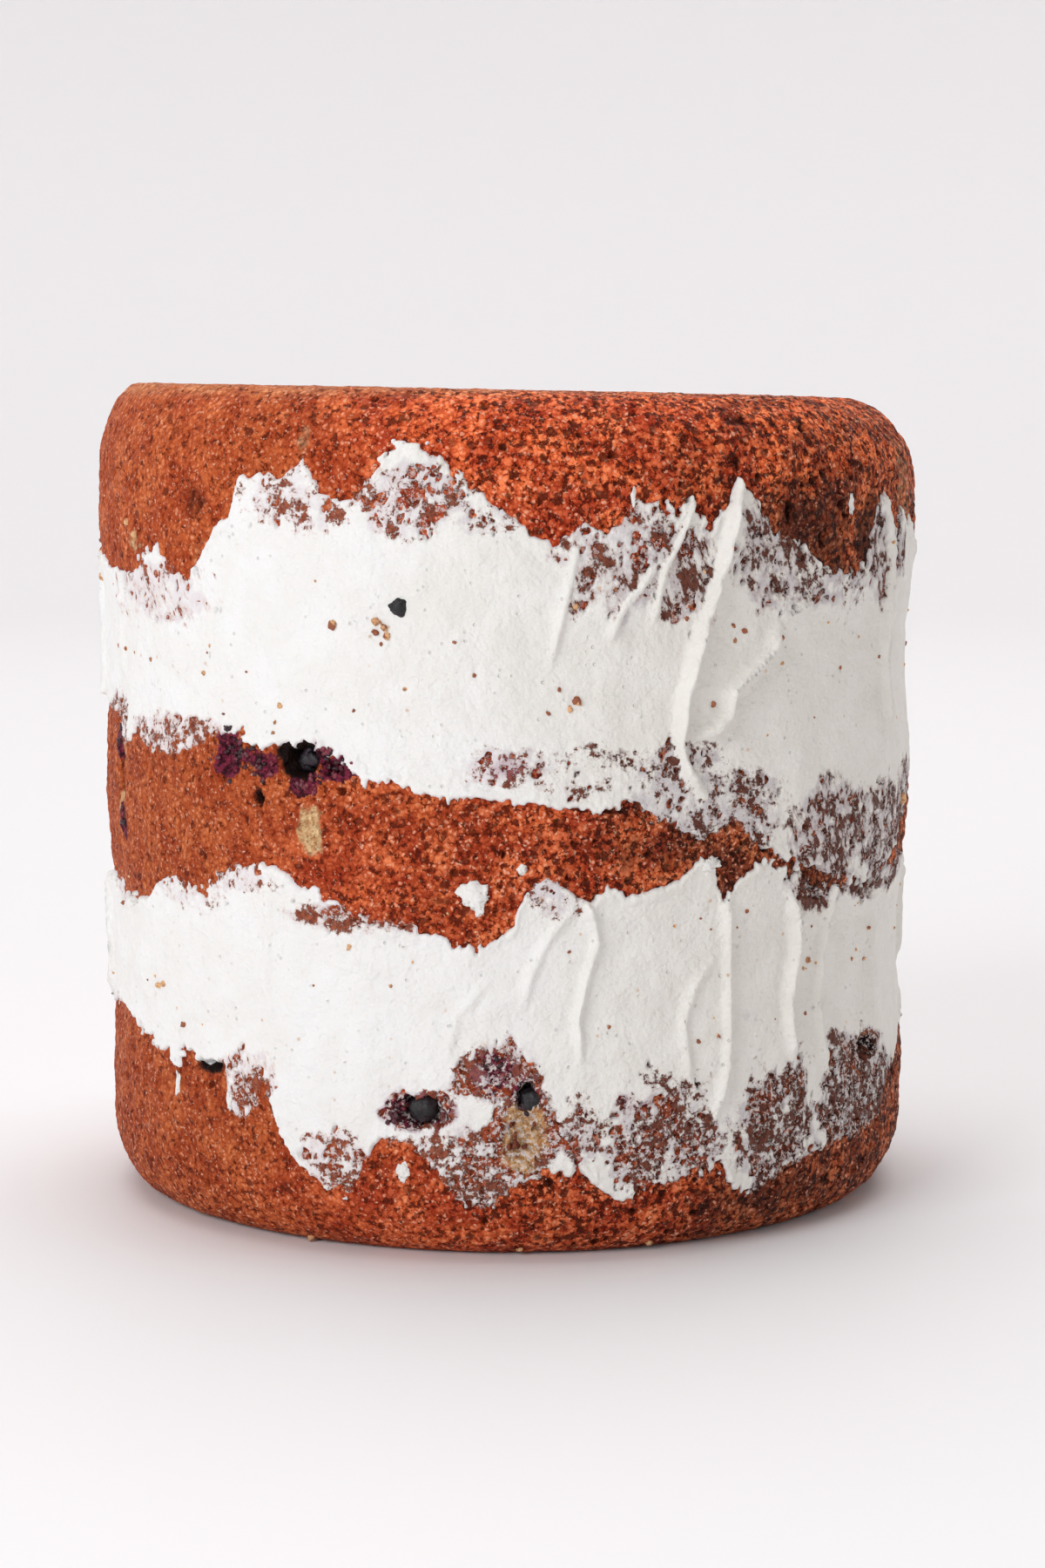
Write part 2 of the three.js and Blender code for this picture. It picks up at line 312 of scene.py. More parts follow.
# Rims as [degrees, height], all the way round; thin places as [degrees, height, half width in degrees,
# half height, bare share, streakiness]; strokes as (points, height above the cream, half width).
UPPER = {
    "low": [
        [-75, 90], [-70, 88.6], [-67, 84], [-62, 86.4], [-57, 85], [-53, 83.6], [-50, 84.5], [-46, 86.4],
        [-42, 88.6], [-38, 88], [-35, 86.4], [-30, 87.4], [-26, 88], [-23, 85.5], [-19, 82], [-15, 81.4],
        [-10, 79.7], [-5, 79], [0, 78.6], [5, 78], [10, 77], [14, 76.4], [16, 79.5], [20, 75], [24, 72.6],
        [27, 71.6], [31, 74], [36, 70], [43, 65.6], [52, 61.4], [60, 61], [68, 62.6], [75, 69], [88, 84],
        [96, 80], [108, 87], [118, 79], [131, 85], [140, 88], [152, 80], [163, 76], [174, 84], [188, 81],
        [200, 89], [214, 86], [226, 78], [238, 83], [250, 88], [262, 85], [274, 91],
    ],
    "top": [
        [-75, 118], [-70, 115.2], [-65, 115.7], [-60, 115], [-57, 119], [-53, 120], [-50, 117.5],
        [-46.5, 115.5], [-43, 120.5], [-41, 124.5], [-38.5, 126], [-37, 132.5], [-33, 133.5], [-30, 133],
        [-27, 135.2], [-24, 130.6], [-20, 129], [-17.6, 133], [-15.6, 137], [-13, 139], [-10, 137],
        [-7, 134.6], [-4.6, 132.4], [-2, 129], [1, 126.6], [3.5, 123.6], [6, 121.8], [8, 123.4],
        [10, 125.4], [13, 123.2], [17, 128.8], [20.5, 127.2], [24, 129.2], [27, 124], [29.5, 128],
        [31, 132.6], [34, 129.4], [37, 124], [42, 121.6], [46, 117.8], [50, 116], [54, 115.2], [57, 117.6],
        [59, 126.5], [62, 129.6], [66, 124.4], [70, 126], [76, 122], [86, 118], [95, 125], [104, 131],
        [113, 127], [124, 121], [137, 124], [147, 133], [154, 128], [166, 119], [178, 116], [190, 124],
        [203, 134], [212, 127], [226, 118], [238, 122], [249, 129], [259, 121], [272, 116],
    ],
    "thin": [
        [-27, 129.6, 9, 6, 0.44, 0], [-12, 129.4, 8.5, 6.6, 0.5, 0], [-3, 126, 5, 3, 0.35, 0],
        [-54, 112.6, 13, 6, 0.4, -0.6], [16, 119.5, 9, 10, 0.52, -0.5], [24, 117, 5, 9.5, 0.6, -0.7],
        [38, 120, 8, 10.5, 0.56, -0.5], [51, 113.6, 8, 4.2, 0.4, 0], [64, 120, 8, 9.5, 0.6, -0.7],
        [-51, 87.4, 12, 3.8, 0.68, -0.4], [-70, 88, 6, 5, 0.6, 0], [1, 84.6, 6.5, 3.4, 0.46, 0],
        [9, 83.6, 9, 4.4, 0.26, 0], [23, 80, 7.5, 8.4, 0.4, 0], [33, 75.5, 7.4, 7.4, 0.56, 0.2],
        [50, 70.6, 9.6, 9.5, 0.64, -0.6], [64, 69.6, 9, 9, 0.66, -0.3], [76, 73, 8, 8, 0.66, 0.4],
        [100, 126, 9, 6, 0.6, -0.5], [118, 83, 10, 4.6, 0.7, 0.6], [150, 127, 10, 7, 0.56, -0.4],
        [170, 80, 12, 5.5, 0.6, 0.4], [190, 120, 8, 6, 0.6, 0], [207, 129, 8, 6, 0.6, -0.5],
        [230, 82, 11, 5, 0.55, 0.4], [246, 124, 9, 6.5, 0.65, 0], [262, 90, 9, 4, 0.5, 0.2],
    ],
    "strokes": [
        (
            [[31.4, 132], [30, 124], [28.4, 116], [26.2, 106], [24, 96], [23.2, 88], [24.6, 83], [27, 79]],
            1.9,
            1.0,
        ),
        (
            [[39, 106.5], [37.4, 103], [34, 99.5], [31, 96.5], [30.6, 92.5], [28.5, 90], [26.4, 89.6]],
            1.7,
            1.3,
        ),
        ([[40, 108.5], [42.5, 109.6], [45, 111.2]], 0.8, 0.7),
        ([[9.2, 122], [8.4, 116], [7.4, 110], [6, 102]], 0.6, 0.8),
        ([[19.5, 118], [17.6, 114.5], [15.6, 111.5], [13.6, 106]], 0.9, 0.8),
        ([[24.4, 128], [22.6, 122], [20.6, 117], [19.6, 109]], 0.8, 0.7),
        ([[62.6, 128], [64.6, 117], [64.2, 106], [64.6, 96], [65.4, 86]], 1.3, 1.0),
        ([[-66, 112], [-67.4, 104], [-66, 96]], 0.5, 1.4),
        ([[-37, 118], [-35.6, 108], [-31, 97]], 0.28, 1.6),
        ([[-56, 104], [-48, 98], [-40, 95.6]], 0.25, 1.6),
    ],
}
LOWER = {
    "low": [
        [-75, 36], [-70, 35.5], [-65, 33.6], [-62, 33], [-58, 30.7], [-54, 31.2], [-52.2, 27.5], [-50, 31],
        [-46, 31], [-41.6, 31], [-40.6, 24.4], [-39, 21.6], [-37, 22], [-35.4, 25], [-34.5, 30],
        [-33.4, 25.7], [-31.4, 19.6], [-29.6, 15.8], [-27, 13.2], [-24.4, 10.8], [-21.4, 10.4], [-20, 14.4],
        [-17, 20.6], [-13.6, 21], [-10, 17], [-6, 10.6], [-2, 9.8], [2, 14], [6, 15.4], [10, 15],
        [12.4, 12.6], [15, 10.1], [18, 11.7], [22, 12.9], [26, 14.6], [30, 15.4], [32, 10.7], [34.5, 9],
        [38, 10.3], [42, 12.9], [48, 13.6], [52, 15], [57, 15], [62, 15.7], [66, 16.4], [69, 21.5],
        [74, 26], [84, 33], [95, 30], [104, 18], [112, 14], [121, 25], [134, 33], [142, 22], [150, 12],
        [161, 15], [170, 29], [183, 33], [196, 27], [206, 16], [214, 11], [224, 21], [236, 33], [247, 30],
        [256, 37], [270, 33],
    ],
    "top": [
        [-75, 58], [-70, 57], [-65, 56.6], [-60, 57.4], [-57, 60.7], [-52, 62.6], [-48, 61.4], [-45, 60.2],
        [-42, 64.3], [-39, 65.9], [-35, 66.6], [-31.6, 66.5], [-28, 63.9], [-24, 62.4], [-21, 60],
        [-18, 58.6], [-13, 58], [-9, 57], [-7, 54.8], [-4, 54.3], [-1, 55.7], [1, 58.8], [3, 64.6],
        [5.4, 66], [8, 64], [11, 61.4], [13.4, 64.5], [16, 62.8], [20, 63.6], [24, 65.6], [26.5, 69],
        [28.6, 66], [30, 61.4], [32.6, 64.8], [36, 67], [42, 65], [48, 61], [53, 61], [60, 61.6], [68, 62],
        [75, 63.4], [88, 60], [99, 64], [110, 68.5], [119, 61], [131, 57.4], [144, 62], [155, 66.6],
        [166, 60], [180, 56], [192, 61], [205, 68], [213, 63.6], [228, 59], [240, 65], [252, 66], [262, 60],
        [274, 57.6],
    ],
    "thin": [
        [-20, 58.7, 9.5, 2.9, 0.74, 0.3], [61.8, 30, 4.5, 3, 1.4, 0], [-23, 16.8, 5, 5.4, 0.66, 0],
        [-11.2, 25.8, 4.6, 3.7, 1.1, 0], [-5, 16.5, 10, 7.2, 0.74, 0], [-1, 32.4, 5.5, 5.4, 0.88, 0],
        [2.4, 22.6, 4.4, 8, 1.5, 0], [10, 22, 3, 6, 0.5, 0], [21, 20, 9, 10, 0.72, 0],
        [39.5, 19.6, 7.6, 12.6, 0.76, 0], [56.5, 21.4, 9, 12.5, 0.82, 0], [68, 20, 6, 9, 0.85, 0],
        [49, 62.5, 8, 5.6, 0.76, -0.6], [60, 61, 9, 4, 0.7, 0.3], [70, 61, 8, 4, 0.7, 0.3],
        [6.4, 62.5, 4, 4, 0.36, 0], [-37, 27.6, 5, 6.8, 0.72, -0.6], [-72, 58, 6, 3.4, 0.5, 0],
        [-50, 60.4, 11, 3.6, 0.32, 0], [-37, 64.4, 6, 2.8, 0.38, 0], [104, 24, 9, 9, 0.8, 0],
        [118, 60, 8, 4, 0.6, 0.5], [146, 19, 9, 8, 0.85, 0], [166, 25, 9, 8, 0.7, 0.2],
        [196, 30, 8, 6, 0.9, 0], [212, 18, 8, 8, 0.8, 0], [234, 30, 9, 5, 0.6, 0],
        [206, 62, 9, 5, 0.6, 0.3], [252, 61, 9, 4, 0.6, 0.5],
    ],
    "strokes": [
        ([[-32.4, 63], [-33.6, 54], [-34, 46], [-33, 38]], 0.42, 1.5),
        ([[10.4, 63], [11.6, 58.5], [12.2, 55], [10.8, 49], [9.6, 42], [10, 35]], 0.95, 0.8),
        ([[9, 61], [6, 56], [3.6, 50], [2.4, 44]], 0.55, 1.1),
        ([[30.6, 62], [31.2, 52], [31.2, 42], [30.6, 32], [28.6, 23]], 0.95, 0.8),
        ([[28.6, 50], [26, 46], [24.4, 40], [24.6, 33], [26, 27]], 0.6, 1.0),
        ([[41.4, 61], [43, 55.5], [43.2, 51.5], [42, 45], [41.6, 38], [42.6, 31]], 1.4, 0.9),
        ([[52, 65], [50.4, 58], [48.6, 50], [47.8, 42], [48.4, 34], [50, 28]], 1.0, 0.9),
        ([[62, 60], [63.4, 50], [62.4, 38], [60, 33]], 0.7, 1.1),
        ([[-2.6, 48], [-6.4, 42], [-7.4, 36]], 0.35, 1.2), ([[-60, 54], [-62, 46], [-60, 38]], 0.35, 1.6),
    ],
}
# Loose dabs of cream beside the smears: [degrees, height, half width, half height, thickness].
DABS = [
    [-4, 63.2, 2.6, 2.1, 0.9], [-3.4, 60.8, 0.9, 1.6, 0.7], [-13.6, 15.5, 1.3, 1.6, 0.7],
    [28, 67.2, 1.8, 1.1, 1], [-40.4, 24.6, 0.8, 1.8, 0.6], [52.6, 127.6, 0.7, 1.9, 0.5],
    [16.4, 129.6, 0.45, 1.5, 0.5], [2.2, 67.6, 0.9, 0.9, 0.6], [-51.8, 25.6, 0.8, 2.2, 0.6],
    [112, 134.5, 1.2, 1.6, 0.8], [160, 70, 1.8, 1.2, 0.8], [186, 76, 1, 1.6, 0.6], [231, 70.6, 1.4, 1, 0.7],
    [141, 7.6, 1, 1.2, 0.6], [244, 14, 1.2, 1.6, 0.7], [219, 133, 1, 1.4, 0.7],
]


def rim_height(rim, angle):
    """A rim's height at each angle, run straight from point to point all the way round."""
    points = np.array(rim + [[rim[0][0] + 360, rim[0][1]]], float)
    return np.interp((angle - points[0, 0]) % 360 + points[0, 0], points[:, 0], points[:, 1])


def hidden_strokes(seed, low, high, count):
    """Spatula strokes for the side away from the front, like those in front."""
    rng = np.random.default_rng(seed)
    strokes = []
    for at in np.linspace(92, 272, count):
        angle = at + rng.uniform(-6, 6)
        lean, bow = rng.uniform(-3, 3), rng.uniform(-2.5, 2.5)
        shares = np.linspace(0, 1, 6)
        first, last = high - rng.uniform(0, 8), low + rng.uniform(0, 10)
        points = [[angle + lean * t + bow * math.sin(math.pi * t), mix(first, last, t)] for t in shares]
        strokes.append((points, rng.uniform(0.35, 1.5), rng.uniform(0.8, 1.3)))
    return strokes


UPPER["strokes"] += hidden_strokes(5, 84, 124, 13)
LOWER["strokes"] += hidden_strokes(6, 30, 62, 13)


def stroke_height(strokes, angle, height, spot):
    """How far the spatula's ridges stand above the scraped cream."""
    wobble = 0.25 * noise(spot, 3.0, 51)
    total = np.zeros(len(angle), np.float32)
    for points, tall, wide in strokes:
        line = np.array(points, float)
        line[:, 0] *= MM_PER_DEGREE
        middle = (points[0][0] + points[-1][0]) / 2
        here = np.flatnonzero(
            (np.abs(turned(angle, middle)) < STROKE_SPAN)
            & (height > line[:, 1].min() - 5 * wide)
            & (height < line[:, 1].max() + 5 * wide)
        )
        across = (turned(angle[here], middle) + middle) * MM_PER_DEGREE
        best = np.full(len(here), 1e3)
        along = np.zeros(len(here))
        for i, (a, b) in enumerate(zip(line[:-1], line[1:])):
            step = b - a
            ahead = (across - a[0]) * step[0] + (height[here] - a[1]) * step[1]
            t = np.clip(ahead / (step @ step), 0, 1)
            dx = across - a[0] - t * step[0]
            dz = height[here] - a[1] - t * step[1]
            reach = np.hypot(np.where(dx < 0, dx / 1.6, dx), dz) / (STROKE_WIDTH * wide) + wobble[here]
            closer = reach < best
            best = np.where(closer, reach, best)
            along = np.where(closer, (i + t) / (len(line) - 1), along)
        ends = smoothstep(0, 0.12, along) * smoothstep(1, 0.88, along)
        ridge = STROKE_HEIGHT * tall * np.exp(-best.clip(0) ** 2 * 1.4) * (0.35 + 0.65 * ends)
        total[here] = np.maximum(total[here], ridge)
    return total


def inside_rims(band, angle, height, spot):
    """Distance inside the smear's ragged outline, in mm; negative outside."""
    fringe = 0.8 * noise(spot, 3.2, 61) + 1.1 * noise(spot, 1.3, 62)
    fringe = fringe + 0.9 * noise(spot, (1.1, 1.1, 3.4), 63)
    fringe *= 0.5 + 1.2 * smoothstep(-0.35, 0.45, noise(spot, 11, 64))
    fringe += 1.8 * noise(spot, 7.5, 65) * smoothstep(78, 100, np.abs(turned(angle, 0)))
    top = rim_height(band["top"], angle) - height
    low = height - rim_height(band["low"], angle)
    return np.minimum(top, low) + fringe


def thin_places(band, angle, height, spot):
    """Where the scraper bared the crumb: share of thin cream, how bare it is, and how streaky it is."""
    uneven = 0.3 * noise(spot, 5.5, 71) + 0.2 * noise(spot, 2.2, 72)
    share = np.zeros(len(angle), np.float32)
    bare = np.zeros(len(angle), np.float32)
    streak = np.zeros(len(angle), np.float32)
    for at, middle, wide, tall, bared, streaky in band["thin"]:
        reach = np.sqrt((turned(angle, at) / wide) ** 2 + ((height - middle) / tall) ** 2) + uneven
        here = smoothstep(1.25, 0.7, reach)
        bare = np.maximum(bare, bared * here)
        streak = np.where(here > share, streaky, streak)
        share = np.maximum(share, here)
    return share, bare, streak


def lace(spot, bare, streak):
    """Holes in thin cream, 0 or 1 with a narrow edge: small ones, torn patches and drawn streaks."""
    bent = spot + 0.5 * np.stack([noise(spot, 1.3, seed) for seed in (33, 34, 35)], 1)
    nearest, number = cells(bent, 1.7, 31)
    wide = 0.2 + 0.3 * (number * 7 % 1)
    hole = smoothstep(wide + 0.07, wide - 0.07, nearest) * (number < bare * 0.6)
    torn = 0.7 * noise(spot, 3.1, 84) + 0.6 * noise(spot, 1.3, 85)
    sideways = 0.9 * noise(spot, (10, 10, 1.5), 86) + 0.5 * noise(spot, 1.2, 87)
    upwards = 0.9 * noise(spot, (1.6, 1.6, 8), 89) + 0.5 * noise(spot, 1.2, 87)
    edge = 0.86 - 0.95 * bare
    drawn = np.where(streak > 0, sideways, upwards)
    patch = smoothstep(edge, edge + 0.12, mix(torn, drawn, np.abs(streak)))
    return np.maximum(hole, patch * smoothstep(0.1, 0.3, bare))


def cream_level(band, angle, height, spot):
    """The smear's relief in mm, how bare and how streaky it is, and where it covers the crumb."""
    inside = inside_rims(band, angle, height, spot)
    scraper = CREAM_RADIUS - CREAM_LEAN * np.sin(np.radians(angle)) - side_radius(angle, height)
    scraper += WIDENING * (height / (CAKE_HEIGHT / 2) - 1)
    solid = CREAM_LEAST + np.maximum(scraper - CREAM_LEAST, 0)
    solid += 0.26 * noise(spot, (7, 7, 34), 81) + 0.2 * noise(spot, 4.4, 82) + 0.07 * noise(spot, 1.6, 83)
    share, bare, streak = thin_places(band, angle, height, spot)
    film = FILM_LEVEL + 0.2 * noise(spot, 1.9, 88)
    ridge = stroke_height(band["strokes"], angle, height, spot)
    lip = np.exp(-(((inside - 1.2) / 0.9) ** 2)) * (0.35 + 0.3 * noise(spot, 8, 90))
    level = mix(solid + lip, film, share) + ridge * (1 - 0.35 * share)
    bare = bare * smoothstep(0.9, 0.3, ridge)
    level = mix(level, HOLE_LEVEL, lace(spot, bare, streak))
    level = mix(HOLE_LEVEL, level, smoothstep(-0.3, 0.45, inside)) - 0.8 * smoothstep(0, 3, -inside)
    covered = smoothstep(0.1, 1.2, inside) * smoothstep(0.4, 0.1, bare)
    return level, bare * smoothstep(-0.6, 0.2, inside), streak, covered


# ---- meshes

def make_piece(name, points, quads, triangles, attributes, material):
    """A smooth-shaded mesh object from points in mm, with one number at each point for each attribute."""
    mesh = bpy.data.meshes.new(name)
    corners = np.concatenate([quads.reshape(-1), triangles.reshape(-1)]).astype(np.int32)
    sizes = np.concatenate([np.full(len(quads), 4), np.full(len(triangles), 3)])
    starts = np.concatenate([[0], np.cumsum(sizes)[:-1]]).astype(np.int32)
    mesh.vertices.add(len(points))
    mesh.vertices.foreach_set("co", (points * MM).astype(np.float32).ravel())
    mesh.loops.add(len(corners))
    mesh.loops.foreach_set("vertex_index", corners)
    mesh.polygons.add(len(sizes))
    mesh.polygons.foreach_set("loop_start", starts)
    mesh.update(calc_edges=True)
    mesh.shade_smooth()
    for key, values in attributes.items():
        layer = mesh.attributes.new(key, "FLOAT", "POINT")
        layer.data.foreach_set("value", np.asarray(values, np.float32))
    mesh.materials.append(material)
    piece = bpy.data.objects.new(name, mesh)
    bpy.context.scene.collection.objects.link(piece)
    return piece


def ring_quads(rows, columns):
    """Faces between rows of points that go all the way round; rows run upwards on the outside."""
    row, column = np.meshgrid(np.arange(rows - 1), np.arange(columns), indexing="ij")
    here, there = row * columns + column, row * columns + (column + 1) % columns
    return np.stack([here, there, there + columns, here + columns], -1).reshape(-1, 4)


def fan(centre, ring, upwards):
    """Triangles from a centre point to a ring, facing up or down."""
    after = np.roll(ring, -1)
    first, second = (ring, after) if upwards else (after, ring)
    return np.stack([np.full(len(ring), centre), first, second], -1)


def ring_piece(name, points, columns, levels, attributes, material):
    """A piece made of rings of points, lowest first, and closed by flat ends at two levels."""
    rows = len(points) // columns
    first = np.arange(columns)
    fans = [fan(len(points), first, False), fan(len(points) + 1, (rows - 1) * columns + first, True)]
    points = np.concatenate([points, np.array([[0, 0, level] for level in levels], np.float32)])
    return make_piece(name, points, ring_quads(rows, columns), np.concatenate(fans), attributes, material)


def grid_angles(columns):
    """Columns of points round the cake, closer together at the front."""
    share = np.arange(columns) / columns
    return 360 * share - FRONT_FINER * 180 / math.pi * np.sin(2 * math.pi * share)


def side_grid(heights, columns):
    """Angles and heights of a grid of rows, flattened; a row's height may differ from column to column."""
    angle = np.broadcast_to(grid_angles(columns), (len(heights), columns))
    height = np.broadcast_to(heights.reshape(len(heights), -1), (len(heights), columns))
    return angle.ravel().astype(np.float64), height.ravel().astype(np.float64)


def side_tones(angle, spot, rim):
    """How tan and dark the crust is round the cake, and how much painted shade falls on the side away from
    the key light; it evens out towards the top's middle, rim 0.
    """
    wander = turned(angle + 22 * noise(spot, 30, 44), 0)
    tan = smoothstep(-130, -80, wander) * smoothstep(-5, -45, wander)
    dark = smoothstep(5, 42, wander) * smoothstep(128, 82, wander)
    shade = smoothstep(-30, 35, wander) * smoothstep(150, 105, wander)
    return {"tan": mix(0.5, tan, rim), "dark": mix(0.1, dark, rim), "shade": mix(0.3, shade, rim)}


def crust_marks(angle, height, spot, relief, pit, rim=1.0):
    """What the crust's material reads at each point, and the relief drawn in where cream covers it."""
    under = np.zeros(len(angle), np.float32)
    cover = np.zeros(len(angle), np.float32)
    for band in (UPPER, LOWER):
        _, bare, _, covered = cream_level(band, angle, height, spot)
        under = np.maximum(under, bare)
        cover = np.maximum(cover, covered)
    there = {
        "pit": pit,
        "relief": relief,
        "pale": marks(PALE, angle, height, spot),
        "stain": marks(STAIN, angle, height, spot),
        "shade_patches": marks(SHADE_PATCHES, angle, height, spot),
        "open": mix(0.35, coarseness(angle, height), rim),
        "under": under,
        **side_tones(angle, spot, rim),
    }
    return there, relief - CREAM_COVER * cover


def padded(there, before, after):
    """The attributes with zeros for that many points before and after."""
    return {key: np.pad(values, (before, after)) for key, values in there.items()}


def straight_sponge(name, heights, columns, material):
    """A sponge whose ends are flat faces: the middle one, and the bottom one with its rounded foot."""
    angle, height = side_grid(heights, columns)
    spot = on_side(angle, height)
    relief, pit = sponge_relief(angle, height, spot)
    relief = relief * smoothstep(-0.6, 1.6, height)
    there, relief = crust_marks(angle, height, spot, relief, pit)
    radius = side_radius(angle, height) - corner_inset(angle, height) + relief
    side = place(angle, radius, height)
    return ring_piece(name, side, columns, (heights[0], heights[-1]), padded(there, 0, 2), material)


def foot_heights():
    """Rows of the rounded foot, closest together where it curves most."""
    turn = np.linspace(0, math.pi / 2, FOOT_ROWS)
    return FOOT_UP * (1 - np.cos(turn))


def top_sponge(name, columns, material):
    """The turned-over top sponge: side, tin corner, and a top with fewer points towards its middle."""
    around = grid_angles(columns)
    across = top_across(around)
    level = top_level(around)
    rows = []

    def add_row(angle, radius, height, up):
        """A ring of points, and how far their outward direction is turned up, in radians."""
        rows.append(np.stack([angle, radius, height, np.full(len(angle), up)]))

    wall_rows = int((CAKE_HEIGHT - TOP_UP - TOP_BOTTOM) / TOP_WALL_STEP)
    for share in np.linspace(0, 1, wall_rows + 1)[:-1]:
        height = mix(TOP_BOTTOM, level - TOP_UP, share)
        add_row(around, side_radius(around, height), height, 0.0)
    for turn in np.linspace(0, math.pi / 2, CORNER_ROWS):
        height = level - TOP_UP * (1 - math.sin(turn))
        inset = across * (1 - math.cos(turn))
        add_row(around, side_radius(around, height) - inset, height, turn)
    rim_radius = side_radius(around, level) - across
    ring = columns
    share = 1.0
    while share > 0.05:
        share -= TOP_FACE_STEP / rim_radius.mean()
        if ring > 30 and share < 0.95 * ring / columns:
            ring //= 2
        stride = columns // ring
        angle = around[::stride]
        radius = rim_radius[::stride] * share
        add_row(angle, radius, top_level(angle, RIM_SHARE * share), math.pi / 2)
    angle, radius, height, up = np.concatenate(rows, axis=1)
    counts = [row.shape[1] for row in rows]
    spot = place(angle, radius, height)
    flat = up > 1.2
    level_read = np.where(flat, ABOVE_MARKS, height)
    relief, pit = sponge_relief(angle, level_read, spot)
    relief = relief * mix(1.0, 0.75, np.sin(up))
    rim = np.where(flat, smoothstep(12, 60, radius), 1.0)
    there, relief = crust_marks(angle, level_read, spot, relief, pit, rim)
    points = place(angle, radius + relief * np.cos(up), height + relief * np.sin(up))
    starts = np.concatenate([[0], np.cumsum(counts)])
    quads, triangles = [], []
    for row, (count, after) in enumerate(zip(counts[:-1], counts[1:])):
        here = starts[row] + np.arange(count)
        if after == count:
            above = starts[row + 1] + np.arange(count)
            quads.append(np.stack([here, np.roll(here, -1), np.roll(above, -1), above], -1))
            continue
        above = starts[row + 1] + np.arange(after)
        even, odd, last = here[0::2], here[1::2], np.roll(here[0::2], -1)
        beside = np.roll(above, -1)
        for corners in ((even, odd, above), (odd, beside, above), (odd, last, beside)):
            triangles.append(np.stack(corners, -1))
    middle = np.array([[0, 0, TOP_BOTTOM], [0, 0, CAKE_HEIGHT]], np.float32)
    inner = starts[-2] + np.arange(counts[-1])
    triangles.append(fan(len(points), np.arange(columns), False))
    triangles.append(fan(len(points) + 1, inner, True))
    return make_piece(
        name,
        np.concatenate([points, middle]),
        np.concatenate(quads),
        np.concatenate(triangles),
        padded(there, 0, 2),
        material,
    )


def smooth_round(values, reach):
    """A running average round the cake."""
    weights = np.hanning(2 * reach + 1)
    wrapped = np.concatenate([values[-reach:], values, values[:reach]])
    return np.convolve(wrapped, weights / weights.sum(), mode="valid")


def envelope(rim, columns, margin, outer):
    """A smooth line just outside a rim, so that the whole ragged outline falls inside the mesh."""
    angle = grid_angles(columns)
    line = rim_height(rim, angle)
    reach = columns // 75
    stacked = np.stack([np.roll(line, shift) for shift in range(-reach, reach + 1)])
    return smooth_round(outer(stacked, 0), 2 * reach) + margin


def filling(name, band, bottom, top, material):
    """One filling: a disc between two sponges and its smear over their sides, as one closed piece."""
    columns = CREAM_COLUMNS
    low = envelope(band["low"], columns, -RIM_MARGIN, np.min)
    high = envelope(band["top"], columns, RIM_MARGIN, np.max)
    shares = np.linspace(0, 1, CREAM_ROWS)
    shares -= RIM_FINER * np.sin(2 * math.pi * shares) / (2 * math.pi)
    heights = low + (high - low) * shares[:, None]
    angle, height = side_grid(heights, columns)
    spot = on_side(angle, height)
    level, bare, streak, covered = cream_level(band, angle, height, spot)
    crumb = sponge_relief(angle, height, spot)[0] - CREAM_COVER * covered
    level = mix(level, np.minimum(level, crumb - 0.5), smoothstep(-0.2, -0.7, level))
    level = np.maximum(level, np.minimum(crumb - 0.7, -0.9))
    even = side_radius(angle, height) - corner_inset(angle, height)
    field = place(angle, even + level, height)
    around = grid_angles(columns)
    lowest, highest = even[:columns] - COAT_DEPTH, even[-columns:] - COAT_DEPTH
    rings = [
        place(around, lowest, bottom),
        place(around, lowest, low),
        field,
        place(around, highest, high),
        place(around, highest, top),
    ]
    over_sponge = smoothstep(1.5, -1.5, height - top) * smoothstep(-1.5, 1.5, height - bottom)
    thickness = mix(level - crumb, np.maximum(level - crumb, 2.5), over_sponge)
    there = {
        "thickness": thickness,
        "bare": bare,
        "streak": streak,
        "stain": marks(STAIN, angle, height, spot),
        "turn": turned(angle, 0),
        "shade": side_tones(angle, spot, 1.0)["shade"],
    }
    there = padded(there, 2 * columns, 2 * columns + 2)
    return ring_piece(name, np.concatenate(rings), columns, (bottom, top), there, material)


# ---- materials

